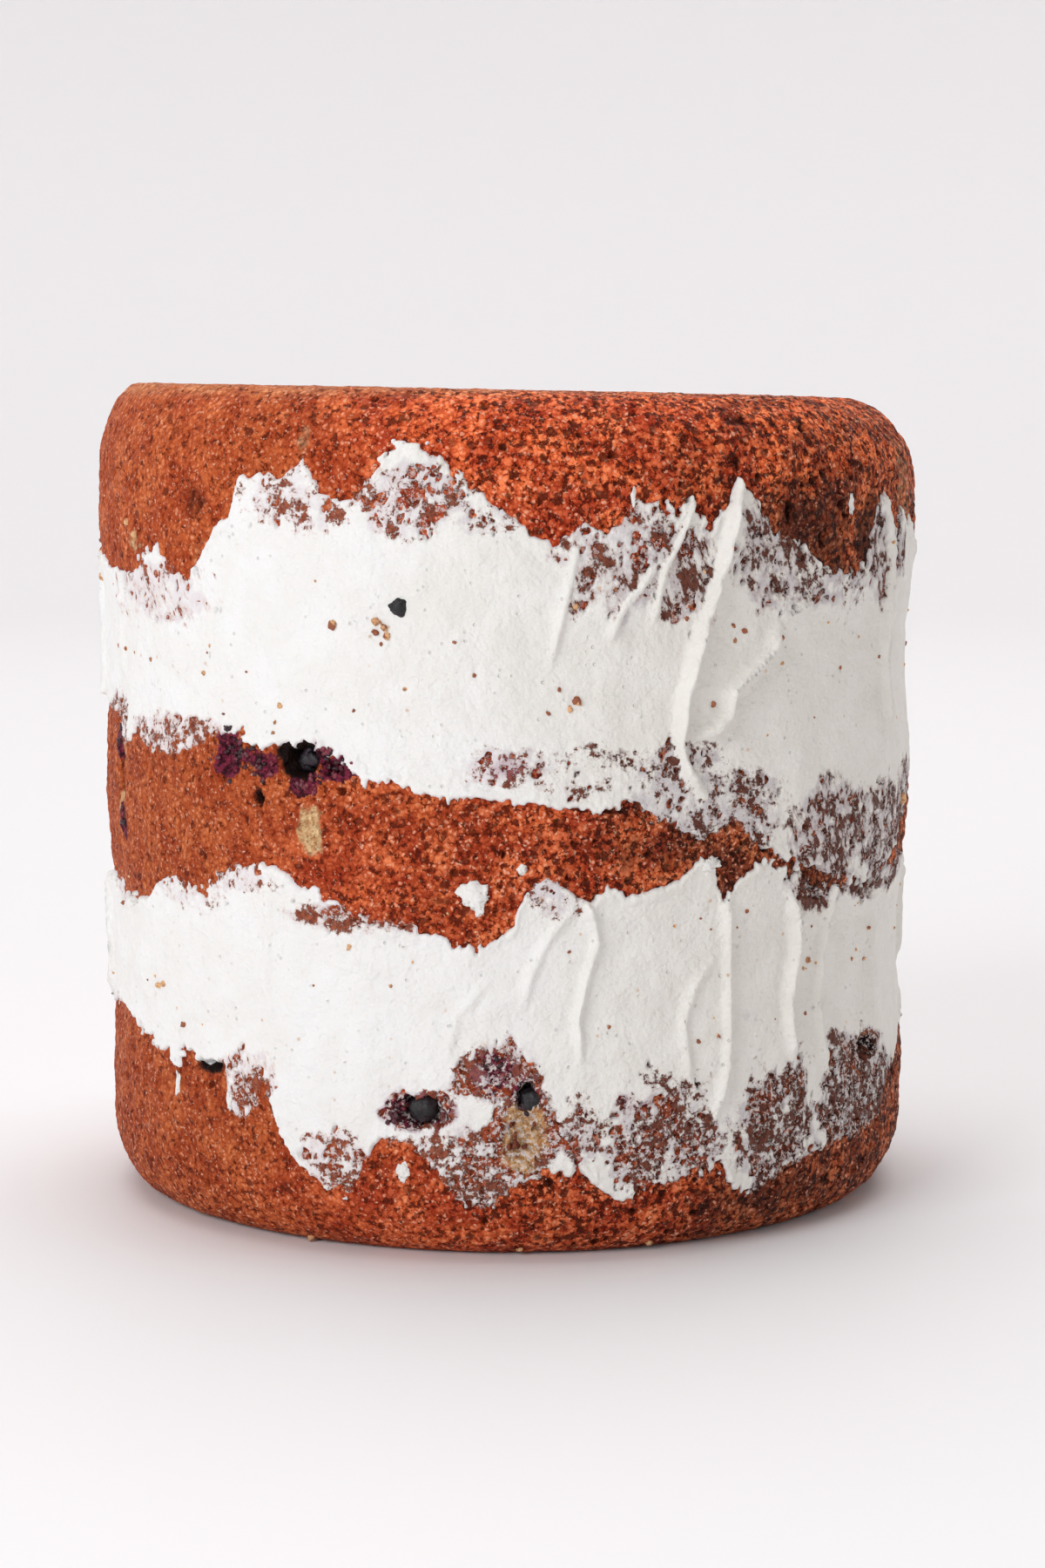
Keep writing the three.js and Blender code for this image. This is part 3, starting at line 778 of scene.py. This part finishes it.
class Nodes:
    """A small helper for building a material's nodes."""

    def __init__(self, name):
        self.material = bpy.data.materials.new(name)
        self.material.use_nodes = True
        self.tree = self.material.node_tree
        self.tree.nodes.clear()
        self.shader = self.node("BsdfPrincipled")
        self.node("OutputMaterial", Surface=self.shader.outputs[0])
        self.place = self.node("TexCoord").outputs["Object"]

    def link(self, value, socket):
        """Joins a node's output to a socket, or sets the socket's own number or colour."""
        if isinstance(value, bpy.types.NodeSocket):
            self.tree.links.new(value, socket)
        else:
            socket.default_value = value

    def node(self, kind, **inputs):
        made = self.tree.nodes.new("ShaderNode" + kind)
        for name, value in inputs.items():
            self.link(value, made.inputs[name.replace("_", " ")])
        return made

    def attribute(self, name):
        node = self.node("Attribute")
        node.attribute_name = name
        return node.outputs["Fac"]

    def noise(self, size_mm, detail=3.0, rough=0.6, vector=None):
        vector = vector or self.place
        node = self.node("TexNoise", Scale=1 / (size_mm * MM), Detail=detail, Roughness=rough, Vector=vector)
        return node.outputs["Fac"]

    def cells(self, size_mm, output="Distance", vector=None):
        node = self.node("TexVoronoi", Scale=1 / (size_mm * MM), Vector=vector or self.place)
        return node.outputs[output]

    def up(self):
        """Height in metres."""
        return self.node("SeparateXYZ", Vector=self.place).outputs["Z"]

    def joined(self, across, up):
        return self.node("CombineXYZ", X=across, Z=up).outputs[0]

    def split(self, colour):
        return self.node("SeparateColor", Color=colour).outputs

    def bent(self, size_mm, reach_mm):
        """The place, pushed about by noise, so that cells aren't round."""
        push = self.node("TexNoise", Scale=1 / (size_mm * MM), Detail=1.0, Vector=self.place)
        node = self.node("VectorMath")
        node.operation = "MULTIPLY_ADD"
        for value, socket in zip((push.outputs["Color"], (reach_mm * MM,) * 3, self.place), node.inputs):
            self.link(value, socket)
        return node.outputs[0]

    def pits(self, size_mm, vector, share, wide):
        """Dark hollows of open crumb, 0 to 1, in that share of the cells."""
        number = self.split(self.cells(size_mm, "Color", vector))[2]
        present = self.ramp(self.minus(share, number), -0.02, 0.1)
        return self.times(present, self.ramp(self.cells(size_mm, vector=vector), wide, wide * 0.45))

    def math(self, operation, a, b=0.0, c=0.0):
        node = self.node("Math")
        node.operation = operation
        for value, socket in zip((a, b, c), node.inputs):
            self.link(value, socket)
        return node.outputs[0]

    def times(self, a, b, plus=None):
        """a times b, and plus the third value where there is one."""
        return self.math("MULTIPLY", a, b) if plus is None else self.math("MULTIPLY_ADD", a, b, plus)

    def minus(self, a, b):
        return self.math("SUBTRACT", a, b)

    def ramp(self, value, low, high, to_low=0.0, to_high=1.0):
        """The value's range low to high, eased to another range."""
        node = self.node("MapRange", Value=value, From_Min=low, From_Max=high, To_Min=to_low, To_Max=to_high)
        node.interpolation_type = "SMOOTHSTEP"
        return node.outputs["Result"]

    def mix(self, share, a, b, blend="MIX"):
        node = self.node("Mix")
        node.data_type = "RGBA"
        node.blend_type = blend
        sockets = [s for s in node.inputs if s.type == "RGBA"]
        self.link(share, node.inputs["Factor"])
        for value, socket in zip((a, b), sockets):
            self.link(value if isinstance(value, bpy.types.NodeSocket) else (*value, 1.0), socket)
        return [s for s in node.outputs if s.type == "RGBA"][0]

    def bump(self, height, distance_mm, strength):
        """Fine relief on the shader's own surface."""
        node = self.node("Bump", Strength=strength, Distance=distance_mm * MM, Height=height)
        self.link(node.outputs["Normal"], self.shader.inputs["Normal"])

    def finish(self, colour, roughness, **sockets):
        """Sets the shader's sockets, and gives the material."""
        self.link(colour, self.shader.inputs["Base Color"])
        self.link(roughness, self.shader.inputs["Roughness"])
        for name, value in sockets.items():
            self.shader.inputs[name.replace("_", " ")].default_value = value
        return self.material


def srgb(red, green, blue):
    """A colour as seen on a screen, 0 to 255, in the linear values that a shader takes."""
    shares = [c / 255 for c in (red, green, blue)]
    return tuple(c / 12.92 if c <= 0.04 else ((c + 0.055) / 1.055) ** 2.4 for c in shares)


def crust_material():
    """Browned, open crumb: tan at the left to dark red-brown at the right, in granules, with painted shade in
    its hollows and painted highlights on it.
    """
    n = Nodes("crust")
    shade = n.attribute("shade")
    openness = n.attribute("open")
    under = n.attribute("under")
    patchy = n.ramp(n.noise(6, 4, 0.6), 0.38, 0.62)
    tan = n.mix(patchy, srgb(188, 95, 52), srgb(164, 70, 34))
    red = n.mix(patchy, srgb(208, 98, 56), srgb(166, 60, 31))
    dark = n.mix(patchy, srgb(184, 92, 54), srgb(120, 54, 33))
    base = n.mix(n.attribute("tan"), red, tan)
    base = n.mix(n.attribute("dark"), base, dark)
    # Painted light: the upper side of the top sponge is brightened and reddened, most on the dark and shaded
    # right.
    far = n.times(n.attribute("dark"), 0.6, n.times(shade, 0.5))
    painted_top_light = n.times(n.ramp(n.up(), 0.118, 0.143), far)
    base = n.mix(painted_top_light, base, n.mix(1.0, base, (1.42, 1.18, 0.97), "MULTIPLY"))
    # Paler in patches along the very top edge.
    top_edge_pale = n.ramp(n.noise(7, 4, 0.6), 0.3, 0.62, 0.3, 0.75)
    base = n.mix(n.times(n.ramp(n.up(), 0.1452, 0.1475), top_edge_pale), base, srgb(198, 128, 84))
    bent = n.bent(1.0, 1.0)
    granule = n.split(n.cells(0.82, "Color", bent))
    near = n.cells(0.82, vector=bent)
    grain = n.times(granule[0], 0.6, n.times(near, -0.8, 0.15))
    grain = n.times(n.noise(1.3, 4, 0.7), 1.6, n.minus(grain, 0.8))
    contrast = n.ramp(openness, 0.2, 0.7, 0.72, 1.35)
    spread = n.times(grain, contrast)
    tone = n.mix(n.ramp(spread, -0.6, 0.12), (0.4, 0.18, 0.08), (1.12, 1.0, 0.92))
    tone = n.mix(n.ramp(spread, 0.0, 0.6), tone, (1.66, 2.32, 2.8))
    base = n.mix(1.0, base, tone, "MULTIPLY")
    # The crust is darker below 120 mm, fully so below 95 mm.
    base = n.mix(n.ramp(n.up(), 0.12, 0.095, 0.0, 0.13), base, srgb(30, 10, 4))
    # Painted highlights: pale glints at the middles of some granules, standing in for light on the moist
    # crumb.
    painted_glint = n.times(n.ramp(granule[1], 0.7, 0.78), n.ramp(near, 0.42, 0.25))
    painted_glint = n.times(painted_glint, n.ramp(openness, 0.2, 0.6, 0.4, 0.75))
    base = n.mix(painted_glint, base, srgb(246, 176, 144))
    # More painted highlights: tiny pale specks in patches.
    painted_sparkle = n.ramp(n.noise(3, 2), 0.42, 0.6, 0.15, 0.7)
    base = n.mix(n.times(n.ramp(n.noise(0.6, 2), 0.61, 0.69), painted_sparkle), base, srgb(244, 200, 170))
    foam = n.pits(2.1, bent, n.times(openness, 0.5), 0.44)
    crevice = n.times(openness, -0.15, n.noise(1.3, 3, 0.68))
    crevice = n.ramp(crevice, 0.36, 0.325)
    hollow = n.math("MAXIMUM", foam, crevice)
    # Painted shade: hollows, low relief and pits are darkened, darker still on the shaded side.
    pit_shade = n.mix(shade, srgb(104, 34, 14), srgb(44, 15, 8))
    base = n.mix(n.ramp(n.attribute("relief"), -0.15, -0.9, 0.0, 0.8), base, pit_shade)
    base = n.mix(n.times(hollow, 0.8), base, pit_shade)
    base = n.mix(n.ramp(n.attribute("pit"), 0.3, 0.95, 0.0, 0.7), base, pit_shade)
    # Painted shade on the crumb bared by holes in thin cream, darker on the shaded side.
    film_hole_shade = n.mix(shade, srgb(126, 62, 40), srgb(70, 36, 27))
    base = n.mix(n.ramp(under, 0.1, 0.7, 0.0, 0.55), base, film_hole_shade)
    # Pale torn crumb from the PALE marks; on the top right corner it is a painted highlight.
    torn = n.ramp(n.times(n.noise(1.6, 4, 0.7), 1.1, n.attribute("pale")), 0.8, 1.6)
    pale = n.mix(n.ramp(n.noise(0.9, 4, 0.7), 0.35, 0.65), srgb(190, 136, 88), srgb(236, 206, 158))
    base = n.mix(torn, base, pale)
    juice = n.ramp(n.times(n.noise(1.2, 4, 0.7), 2.0, n.attribute("stain")), 1.35, 1.7)
    purple = n.mix(n.ramp(n.noise(1.1, 3), 0.4, 0.6), srgb(50, 15, 27), srgb(126, 42, 64))
    base = n.mix(juice, base, purple)
    # Near-black painted shade in the shade patches.
    shade_patch_share = n.ramp(n.times(n.noise(1.4, 3), 0.5, n.attribute("shade_patches")), 0.3, 1.2)
    base = n.mix(shade_patch_share, base, srgb(26, 13, 11))
    flecks = n.ramp(under, 0.2, 0.7, 0.0, 0.92)
    base = n.mix(n.times(n.ramp(n.noise(0.9, 4, 0.75), 0.51, 0.56), flecks), base, srgb(222, 210, 207))
    height = n.times(n.noise(0.6, 3, 0.7), 0.5, n.times(grain, 0.5))
    n.bump(n.minus(height, hollow), 0.6, 1.0)
    return n.finish(base, n.ramp(n.noise(0.8, 2), 0.4, 0.65, 0.75, 0.45), Specular_IOR_Level=0.1)


def torn_film(n, bare):
    """Fine holes in thin cream and the veil round them; streaks run sideways, or upwards where negative."""
    scale = MM_PER_DEGREE * MM
    turn = n.attribute("turn")
    streak = n.attribute("streak")
    sideways = n.joined(n.times(turn, scale * 0.3), n.up())
    leaning = n.times(n.up(), 0.35, n.times(turn, scale))
    upwards = n.joined(leaning, n.times(n.up(), 0.4))
    pattern = n.noise(1.5, 5, 0.75)
    for stretched, sign in ((sideways, 1.0), (upwards, -1.0)):
        drawn = n.noise(1.3, 4, 0.7, stretched)
        share = n.math("MAXIMUM", n.times(streak, sign), 0.0)
        pattern = n.times(n.minus(drawn, pattern), share, pattern)
    pattern = n.times(n.minus(n.noise(5, 2), 0.5), 0.5, pattern)
    pattern = n.times(bare, 0.22, pattern)
    scraped = n.ramp(bare, 0.03, 0.16)
    torn = n.times(n.ramp(pattern, 0.65, 0.69), scraped)
    return torn, n.times(n.ramp(pattern, 0.55, 0.655, 0.0, 0.5), scraped)


def cream_material():
    """Whipped cream: near white, finely grained, a little lilac where thin, torn to lace on the crumb, and
    with painted shade on the side away from the key light.
    """
    n = Nodes("cream")
    thickness = n.attribute("thickness")
    bare = n.attribute("bare")
    shade = n.attribute("shade")
    mottled = n.math("ADD", thickness, n.times(n.noise(1.1, 4, 0.7), 0.8, -0.4))
    # Each cream colour has a lit copy and a painted-shade copy, picked by shade, for the side away from the
    # key light.
    clean = n.mix(shade, srgb(240, 240, 239), srgb(234, 231, 225))
    creamy = n.mix(shade, srgb(237, 236, 233), srgb(229, 226, 219))
    solid = n.mix(n.ramp(n.noise(9, 3), 0.35, 0.65), clean, creamy)
    thin = n.mix(shade, srgb(229, 223, 225), srgb(203, 198, 199))
    base = n.mix(n.ramp(mottled, 0.1, 0.7), thin, solid)
    torn, veil = torn_film(n, bare)
    base = n.mix(veil, base, n.mix(shade, srgb(214, 180, 168), srgb(164, 138, 130)))
    # Crumb seen through the holes, painted darker as shade under the film, with pits of darker painted shade.
    shown = n.mix(shade, srgb(166, 88, 58), srgb(106, 56, 39))
    shown_pit_shade = n.mix(1.0, shown, (0.5, 0.36, 0.3), "MULTIPLY")
    shown = n.mix(n.ramp(n.noise(0.8, 3, 0.7), 0.36, 0.64), shown_pit_shade, shown)
    base = n.mix(torn, base, shown)
    juice = n.times(n.attribute("stain"), n.ramp(mottled, 1.2, 0.1))
    base = n.mix(n.times(juice, 0.5), base, srgb(150, 92, 124))
    tone = n.split(n.cells(3.2, "Color"))
    spot = n.times(n.ramp(n.cells(3.2), 0.15, 0.05), n.ramp(tone[0], 0.84, 0.88))
    base = n.mix(n.times(spot, 0.6), base, srgb(205, 160, 116))
    height = n.times(n.noise(0.9, 2), 0.55, n.times(n.noise(2.8, 2), 1.4))
    bubbles = n.times(n.ramp(n.cells(1.7), 0.2, 0.06), n.ramp(n.noise(5, 2), 0.5, 0.6))
    height = n.minus(height, n.times(bubbles, 0.5))
    n.bump(n.minus(height, n.times(torn, 0.5)), 0.45, 1.0)
    return n.finish(
        base,
        0.55,
        Specular_IOR_Level=0.3,
        Subsurface_Weight=0.1,
        Subsurface_Radius=(1.0, 0.75, 0.6),
        Subsurface_Scale=1.0 * MM,
    )


def berry_material():
    """Baked berry skin: blue-black with a dull bloom and a purple blush."""
    n = Nodes("berry_skin")
    base = n.mix(n.ramp(n.noise(1.6, 3), 0.42, 0.62), srgb(11, 10, 14), srgb(32, 14, 28))
    base = n.mix(n.ramp(n.noise(0.6, 3), 0.58, 0.74, 0.0, 0.25), base, srgb(70, 78, 94))
    n.bump(n.noise(0.7, 4, 0.7), 0.3, 0.8)
    return n.finish(base, n.ramp(n.noise(1.2, 2), 0.4, 0.6, 0.25, 0.5))


def mush_material():
    """Burst berry: wet purple crumbs."""
    n = Nodes("berry_mush")
    tone = n.split(n.cells(1.8, "Color"))
    base = n.mix(n.ramp(tone[0], 0.15, 0.85), srgb(42, 14, 24), srgb(124, 42, 58))
    n.bump(n.noise(0.5, 3), 0.25, 0.8)
    return n.finish(base, 0.3)


def crumb_material():
    """Loose crumbs: pale inside and browned outside."""
    n = Nodes("loose_crumb")
    tone = n.split(n.cells(2.5, "Color"))
    base = n.mix(n.ramp(tone[0], 0.2, 0.8), srgb(156, 88, 56), srgb(232, 182, 130))
    base = n.mix(n.ramp(n.noise(0.6, 3), 0.5, 0.66, 0.0, 0.6), base, srgb(104, 50, 34))
    n.bump(n.noise(0.4, 3), 0.2, 0.8)
    return n.finish(base, 0.6)


# ---- berries and crumbs

def ball(levels):
    """An icosphere's unit points and triangles."""
    made = bmesh.new()
    bmesh.ops.create_icosphere(made, subdivisions=levels, radius=1.0)
    made.verts.ensure_lookup_table()
    points = np.array([v.co[:] for v in made.verts], np.float32)
    faces = np.array([[v.index for v in f.verts] for f in made.faces])
    made.free()
    return points, faces


def berries(material):
    """Wrinkled skins where the CAD has plain balls."""
    points, faces = ball(4)
    for node in sorted(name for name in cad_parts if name.startswith("berry_")):
        low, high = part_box(node)
        centre = np.array((low + high) / 2) / MM
        radius = (high.x - low.x) / 2 / MM
        angle = np.degrees(np.arctan2(centre[:1], -centre[1:2]))
        proud = surface_radius(angle, centre[2:])[0] - math.hypot(centre[0], centre[1]) + 0.9
        radius *= np.clip(proud / radius, 0.6, 1.0)
        spot = points * radius + centre
        size = radius * (0.9 + 0.2 * noise(spot, 2.6, 95) + 0.08 * noise(spot, 0.9, 96))
        piece = make_piece(node + "_skin", centre + points * size[:, None], NO_QUADS, faces, {}, material)
        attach(piece, "root")
        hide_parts(node)


def surface_radius(angle, height):
    """The outermost of crumb and cream at each place."""
    spot = on_side(angle, height)
    relief = sponge_relief(angle, height, spot)[0]
    for band in (UPPER, LOWER):
        level, _, _, covered = cream_level(band, angle, height, spot)
        relief = np.maximum(relief - CREAM_COVER * covered, level)
    return side_radius(angle, height) - corner_inset(angle, height) + relief


def lump_piece(name, lumps, faces, attributes, material):
    """Many lumps that have the same faces, as one piece."""
    triangles = [faces + i * len(lump) for i, lump in enumerate(lumps)]
    return make_piece(name, np.concatenate(lumps), NO_QUADS, np.concatenate(triangles), attributes, material)


def scattered(name, angle, height, size, material):
    """Small uneven lumps half sunk in the side, all in one piece."""
    points, faces = ball(2)
    radius = surface_radius(angle, height)
    out = place(angle, np.ones_like(angle), np.zeros_like(angle))
    lumps = []
    for i, grown in enumerate(size):
        shape = points * RNG.uniform(0.6, 1.25, 3) * grown
        shape *= 1 + 0.5 * noise(points * 1.7 + i * 13.7, 1.0, 97)[:, None]
        spin = np.linalg.qr(RNG.normal(size=(3, 3)))[0].astype(np.float32)
        centre = place(angle[i], radius[i], height[i]) - out[i] * grown * 0.15
        lumps.append(shape @ spin + centre)
    return lump_piece(name, lumps, faces, {}, material)


# [degrees, height, radius] of the larger crumbs dragged into the cream.
CRUMBS = [
    [-23, 108, 1.5], [-16.9, 108.8, 1.6], [-15.8, 107.8, 1.4], [-17, 107, 1.1], [-15.4, 106.4, 1.2],
    [-16.2, 105, 0.6], [-31, 94, 1], [9.4, 95.6, 1.4], [8.4, 94.2, 0.9], [-4, 100, 0.7], [-6.5, 105.5, 0.6],
    [-57, 42, 1.4], [-55.4, 42.6, 1], [-50.5, 36.2, 0.9], [46, 48.4, 1], [45, 47, 0.7], [62, 51.4, 0.8],
    [61, 46, 0.8], [-59.6, 122, 1.6], [-58, 120, 1.2], [-62, 124, 1.1], [31.4, 107.6, 0.8],
    [33.2, 106.6, 0.9], [31.8, 105, 0.7], [9, 111.5, 0.8], [-57, 100, 0.8], [-69, 101.5, 0.8],
    [28.4, 94.4, 1], [40, 100.6, 0.7], [52, 99, 0.6], [63, 100, 0.7], [-13, 97.6, 0.6], [29.5, 37.5, 0.8],
    [45.5, 39, 0.6], [-21, 53.6, 0.8], [-85, 115.6, 2], [-84, 117.8, 1.7], [-85.5, 113, 1.6],
    [-83, 119.6, 1.2], [74, 73, 1.6], [2, 1.2, 1.4], [-30, 1, 1.1], [21, 1.4, 1], [88, 100, 1],
    [126, 106, 1.2], [148, 101, 0.9], [170, 95, 1.3], [186, 108, 1], [205, 99, 0.8], [231, 103, 1.4],
    [255, 97, 0.9], [112, 45, 1.1], [139, 50, 0.9], [163, 42, 1.3], [201, 47, 1], [226, 44, 0.8],
    [248, 50, 1.2],
]


def crumbs(material):
    """The larger crumbs, and many fine ones scattered over the cream."""
    large = np.array(CRUMBS)
    on_lower = RNG.uniform(size=FINE_CRUMBS) < 0.5
    angle = RNG.uniform(-180, 180, FINE_CRUMBS)
    height = np.where(on_lower, RNG.uniform(36, 60, FINE_CRUMBS), RNG.uniform(88, 122, FINE_CRUMBS))
    size = RNG.uniform(0.2, 0.44, FINE_CRUMBS)
    return scattered(
        "crumbs",
        np.concatenate([large[:, 0], angle]),
        np.concatenate([large[:, 1], height]),
        np.concatenate([large[:, 2] * CRUMB_SCALE, size]),
        material,
    )


# [degrees, height, half width, half height, count] of burst berry round each hollow.
MUSH = [
    [-39.6, 85.2, 3.2, 4.2, 34], [-36.6, 85.4, 2.6, 1, 10], [-33.4, 83.4, 3.4, 1.8, 14],
    [-27, 80.8, 3, 1.6, 14], [-22.4, 83.8, 3, 2.4, 20], [-24, 86.6, 1.6, 1.6, 8], [-69, 84, 1.4, 3.6, 12],
    [-68.4, 70, 1, 2.6, 6], [-14, 25, 2.4, 2.4, 12], [-1.6, 33, 2.4, 2.6, 6], [2.4, 26.4, 1.4, 1.2, 5],
    [128, 67, 4.2, 1.8, 18], [133, 72, 1.6, 2.6, 10], [196, 26, 4.4, 1.6, 14],
]


def mush(material):
    """Specks of burst berry round each hollow."""
    rows = np.repeat(np.array(MUSH), [int(row[4]) for row in MUSH], axis=0)
    across, up = RNG.normal(0, 0.5, (2, len(rows)))
    angle = rows[:, 0] + across * rows[:, 2] / MM_PER_DEGREE
    height = rows[:, 1] + up * rows[:, 3]
    return scattered("berry_mush", angle, height, RNG.uniform(0.28, 0.66, len(rows)), material)


def dabs(material):
    """Loose dabs of cream on the crumb, each a flat uneven lump."""
    points, faces = ball(4)
    lumps = []
    for i, (at, level, wide, tall, thick) in enumerate(DABS):
        spot = points * 3.0
        ragged = 1 + 0.45 * noise(spot + i * 17.3, 1.9, 92) + 0.25 * noise(spot, 0.8 + i * 0.01, 93)
        across = points[:, 0] * wide * ragged
        up = points[:, 2] * tall * ragged
        angle = at + across / MM_PER_DEGREE
        radius = surface_radius(angle, level + up) - points[:, 1] * thick * 0.8 - 0.1
        lumps.append(place(angle, radius, level + up))
    vertices = np.concatenate(lumps)
    steady = {"thickness": 1.0, "bare": 0.0, "streak": 0.0, "stain": 0.0, "shade": 0.5}
    there = {key: np.full(len(vertices), value) for key, value in steady.items()}
    there["turn"] = turned(np.degrees(np.arctan2(vertices[:, 0], -vertices[:, 1])), 0)
    return lump_piece("cream_dabs", lumps, faces, there, material)


# ---- building the cake

def build_cake():
    """Every piece, tied to the frame's root node, with the CAD parts it replaces hidden."""
    crust = crust_material()
    cream = cream_material()
    middle_heights = np.arange(MIDDLE_BOTTOM, MIDDLE_TOP + SPONGE_STEP / 2, SPONGE_STEP)
    wall = np.arange(FOOT_UP, BOTTOM_TOP, SPONGE_STEP)[1:]
    bottom_heights = np.concatenate([foot_heights(), wall, [BOTTOM_TOP]])
    pieces = {
        "sponge_bottom": straight_sponge("bottom_sponge", bottom_heights, SIDE_COLUMNS, crust),
        "sponge_middle": straight_sponge("middle_sponge", middle_heights, SIDE_COLUMNS, crust),
        "sponge_top": top_sponge("top_sponge", TOP_COLUMNS, crust),
        "filling_lower": filling("lower_cream", LOWER, BOTTOM_TOP, MIDDLE_BOTTOM, cream),
        "filling_upper": filling("upper_cream", UPPER, MIDDLE_TOP, TOP_BOTTOM, cream),
    }
    for node, piece in pieces.items():
        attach(piece, "root")
        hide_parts(node)
    berries(berry_material())
    loose = [(crumbs(crumb_material()), "sponge"), (mush(mush_material()), "berry"), (dabs(cream), "cream")]
    for piece, slot in loose:
        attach(piece, "root")


# ---- studio

LENS, SENSOR = 80, 36
CAMERA_PLACE = (0.0029, -0.651, 0.1476)
CAMERA_TILT = 6.5


def bowl():
    """A pale floor that curves up into a backdrop on every side."""
    reach, bend, tall, columns = 1.6, 0.5, 1.1, 96
    turn = np.linspace(0, math.pi / 2, 13)
    profile = [(0.001, 0.0), (0.6, 0.0)]
    profile += [(reach + bend * math.sin(t), bend * (1 - math.cos(t))) for t in turn]
    profile += [(reach + bend, tall)]
    angle = np.arange(columns) * 360.0 / columns
    points = np.concatenate([place(angle, r / MM, z / MM) for r, z in profile])
    quads = ring_quads(len(profile), columns)[:, ::-1]
    pale = Nodes("studio").finish((*srgb(239, 238, 240), 1.0), 0.6)
    floor = make_piece("studio_bowl", points, quads, NO_TRIANGLES, {}, pale)


def area_light(name, azimuth, elevation, distance, size, power, colour):
    """A soft square light aimed at the middle of the cake."""
    data = bpy.data.lights.new(name, "AREA")
    data.shape = "SQUARE"
    data.size = size
    data.energy = power
    data.color = colour
    lamp = bpy.data.objects.new(name, data)
    bpy.context.scene.collection.objects.link(lamp)
    turn, rise = math.radians(azimuth), math.radians(elevation)
    x = distance * math.cos(rise) * math.sin(turn)
    y = -distance * math.cos(rise) * math.cos(turn)
    z = CAKE_HEIGHT * MM / 2 + distance * math.sin(rise)
    lamp.location = (x, y, z)
    lamp.rotation_euler = (math.pi / 2 - rise, 0, math.atan2(x, -y))


def studio():
    """The bowl, a soft pale sky, a key light from the front left and a light from above at the back."""
    bowl()
    world = bpy.data.worlds.new("studio_world")
    bpy.context.scene.world = world
    world.use_nodes = True
    sky = world.node_tree.nodes["Background"]
    sky.inputs["Color"].default_value = (1.0, 0.945, 0.875, 1.0)
    sky.inputs["Strength"].default_value = 0.34
    area_light("key", -37, 26, 1.5, 0.7, 9.4, (0.955, 0.98, 1.0))
    area_light("backdrop_light", 180, 70, 2.0, 2.2, 32, (1.0, 0.99, 1.0))
    bpy.context.scene.view_settings.view_transform = "Standard"


def camera():
    """A long view from the front, level with the cake's top and tilted a little down."""
    data = bpy.data.cameras.new("camera")
    data.lens = LENS
    data.sensor_width = SENSOR
    view = bpy.data.objects.new("camera", data)
    bpy.context.scene.collection.objects.link(view)
    view.location = CAMERA_PLACE
    view.rotation_euler = (math.radians(90 - CAMERA_TILT), 0, 0)
    bpy.context.scene.camera = view


build_cake()
studio()
camera()
